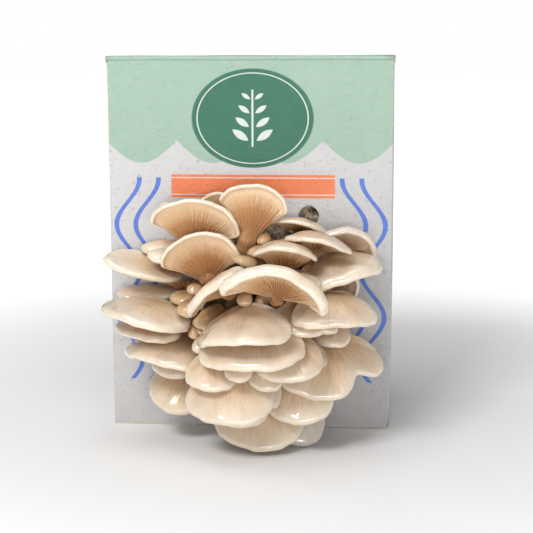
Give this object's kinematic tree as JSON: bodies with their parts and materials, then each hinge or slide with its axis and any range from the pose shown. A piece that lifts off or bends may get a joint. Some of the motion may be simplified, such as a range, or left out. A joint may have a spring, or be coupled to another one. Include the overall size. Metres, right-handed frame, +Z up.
{
  "type": "oyster mushroom grow kit",
  "caption": "Upright board carton with a grown sawdust block inside, from whose front opening a dense cluster of oyster mushrooms grows.",
  "frame": {"origin": "middle of the carton's base, on the surface that it stands on", "axes": "+Z up, -Y out of the front panel with the cluster, +X to the right seen from the front"},
  "size_m": [0.1916, 0.2042, 0.2523],
  "materials": {
    "printed_board": "matte",
    "grown_sawdust": "matte",
    "stem_flesh": "satin",
    "cap_flesh": "satin",
    "young_cap_flesh": "satin"
  },
  "bodies": {
    "root": {"bottom_centre_cap": "cap_flesh", "bottom_centre_under_cap": "cap_flesh", "bottom_left_cap": "cap_flesh", "bottom_right_cap": "cap_flesh", "bottom_sliver_cap": "cap_flesh", "bottom_tongue_left_cap": "cap_flesh", "bottom_tongue_middle_cap": "cap_flesh", "bottom_tongue_right_cap": "cap_flesh", "carton": "printed_board", "centre_big_fan": "cap_flesh", "centre_large_cap": "cap_flesh", "centre_lower_cap": "cap_flesh", "centre_right_fan": "cap_flesh", "centre_right_lower_cap": "cap_flesh", "centre_sliver_cap": "cap_flesh", "cluster_base": "stem_flesh", "far_left_back_cap": "cap_flesh", "far_left_cap": "cap_flesh", "far_left_second_cap": "cap_flesh", "far_right_fan": "cap_flesh", "grey_back_fan": "cap_flesh", "hidden_left_fan": "cap_flesh", "left_back_blade_fan": "cap_flesh", "left_blade_fan": "cap_flesh", "left_brown_cap": "young_cap_flesh", "left_large_cap": "cap_flesh", "left_low_button": "young_cap_flesh", "left_low_small_button": "young_cap_flesh", "left_lower_cap": "cap_flesh", "left_lower_under_cap": "cap_flesh", "left_narrow_cap": "cap_flesh", "left_oval_button": "young_cap_flesh", "left_pale_button": "young_cap_flesh", "left_round_button": "young_cap_flesh", "left_tucked_cap": "cap_flesh", "left_under_cap": "cap_flesh", "lowest_cap": "cap_flesh", "lowest_grey_cap": "cap_flesh", "middle_button": "young_cap_flesh", "middle_small_button": "young_cap_flesh", "right_band_fan": "cap_flesh", "right_inner_cap": "cap_flesh", "right_large_cap": "cap_flesh", "right_lower_cap": "cap_flesh", "right_sliver_cap": "cap_flesh", "right_small_lower_cap": "cap_flesh", "right_small_upper_cap": "cap_flesh", "right_thin_cap": "cap_flesh", "right_two_lobed_cap": "cap_flesh", "second_left_fan": "cap_flesh", "small_back_fan": "cap_flesh", "substrate_block": "grown_sawdust", "top_middle_fan": "cap_flesh", "upper_left_fan": "cap_flesh", "upper_right_fan": "cap_flesh", "upper_tucked_cap": "young_cap_flesh", "upper_tucked_fan": "young_cap_flesh", "upper_tucked_small_cap": "young_cap_flesh"}
  },
  "joints": []
}
